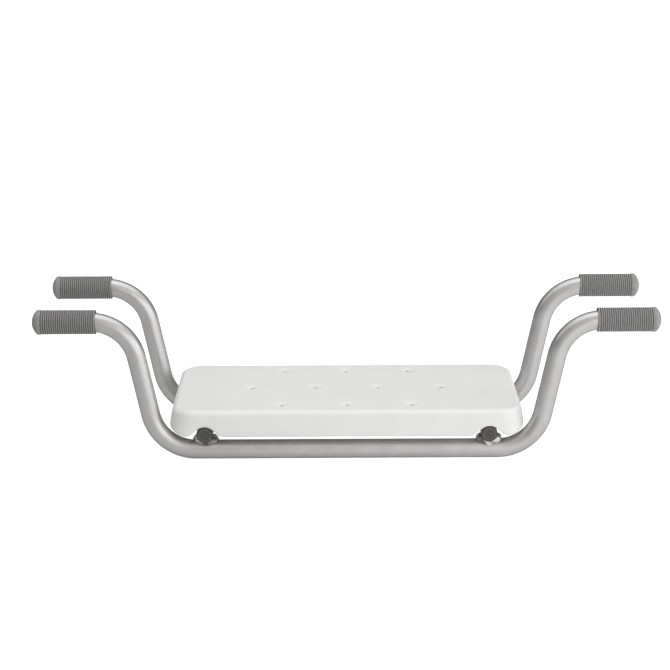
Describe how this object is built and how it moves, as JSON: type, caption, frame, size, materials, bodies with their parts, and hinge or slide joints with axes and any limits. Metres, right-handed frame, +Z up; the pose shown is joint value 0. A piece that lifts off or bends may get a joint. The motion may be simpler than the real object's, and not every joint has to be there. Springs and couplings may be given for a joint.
{
  "type": "bath transfer bench",
  "caption": "Low inset bath seat: a moulded drained seat on a welded frame of bent tubes that hangs from the bath's rims by ribbed rubber grips.",
  "frame": {"origin": "middle of the bench on the plane that the undersides of the two rails stand on", "axes": "+X across the bath from the left grips to the right grips, +Y from the front rail to the rear rail, +Z up"},
  "size_m": [0.715, 0.1908, 0.1782],
  "materials": {
    "seat": "satin white moulded polyethylene",
    "frame_tube": "satin anodised",
    "weld": "rippled, as welded",
    "grip": "matt, ribbed",
    "plug": "satin moulded",
    "fastener": "stainless",
    "insert": "knurled"
  },
  "bodies": {
    "root": {"seat": "seat", "front_rail": "frame_tube", "rear_rail": "frame_tube", "left_cross_tube": "frame_tube", "right_cross_tube": "frame_tube", "front_left_grip": "grip", "front_right_grip": "grip", "rear_left_grip": "grip", "rear_right_grip": "grip", "front_left_plug": "plug", "front_right_plug": "plug", "rear_left_plug": "plug", "rear_right_plug": "plug", "front_left_weld": "weld", "front_right_weld": "weld", "rear_left_weld": "weld", "rear_right_weld": "weld", "front_left_screw": "fastener", "front_right_screw": "fastener", "rear_left_screw": "fastener", "rear_right_screw": "fastener", "front_left_washer": "fastener", "front_right_washer": "fastener", "rear_left_washer": "fastener", "rear_right_washer": "fastener", "front_left_insert": "insert", "front_right_insert": "insert", "rear_left_insert": "insert", "rear_right_insert": "insert"}
  },
  "joints": []
}
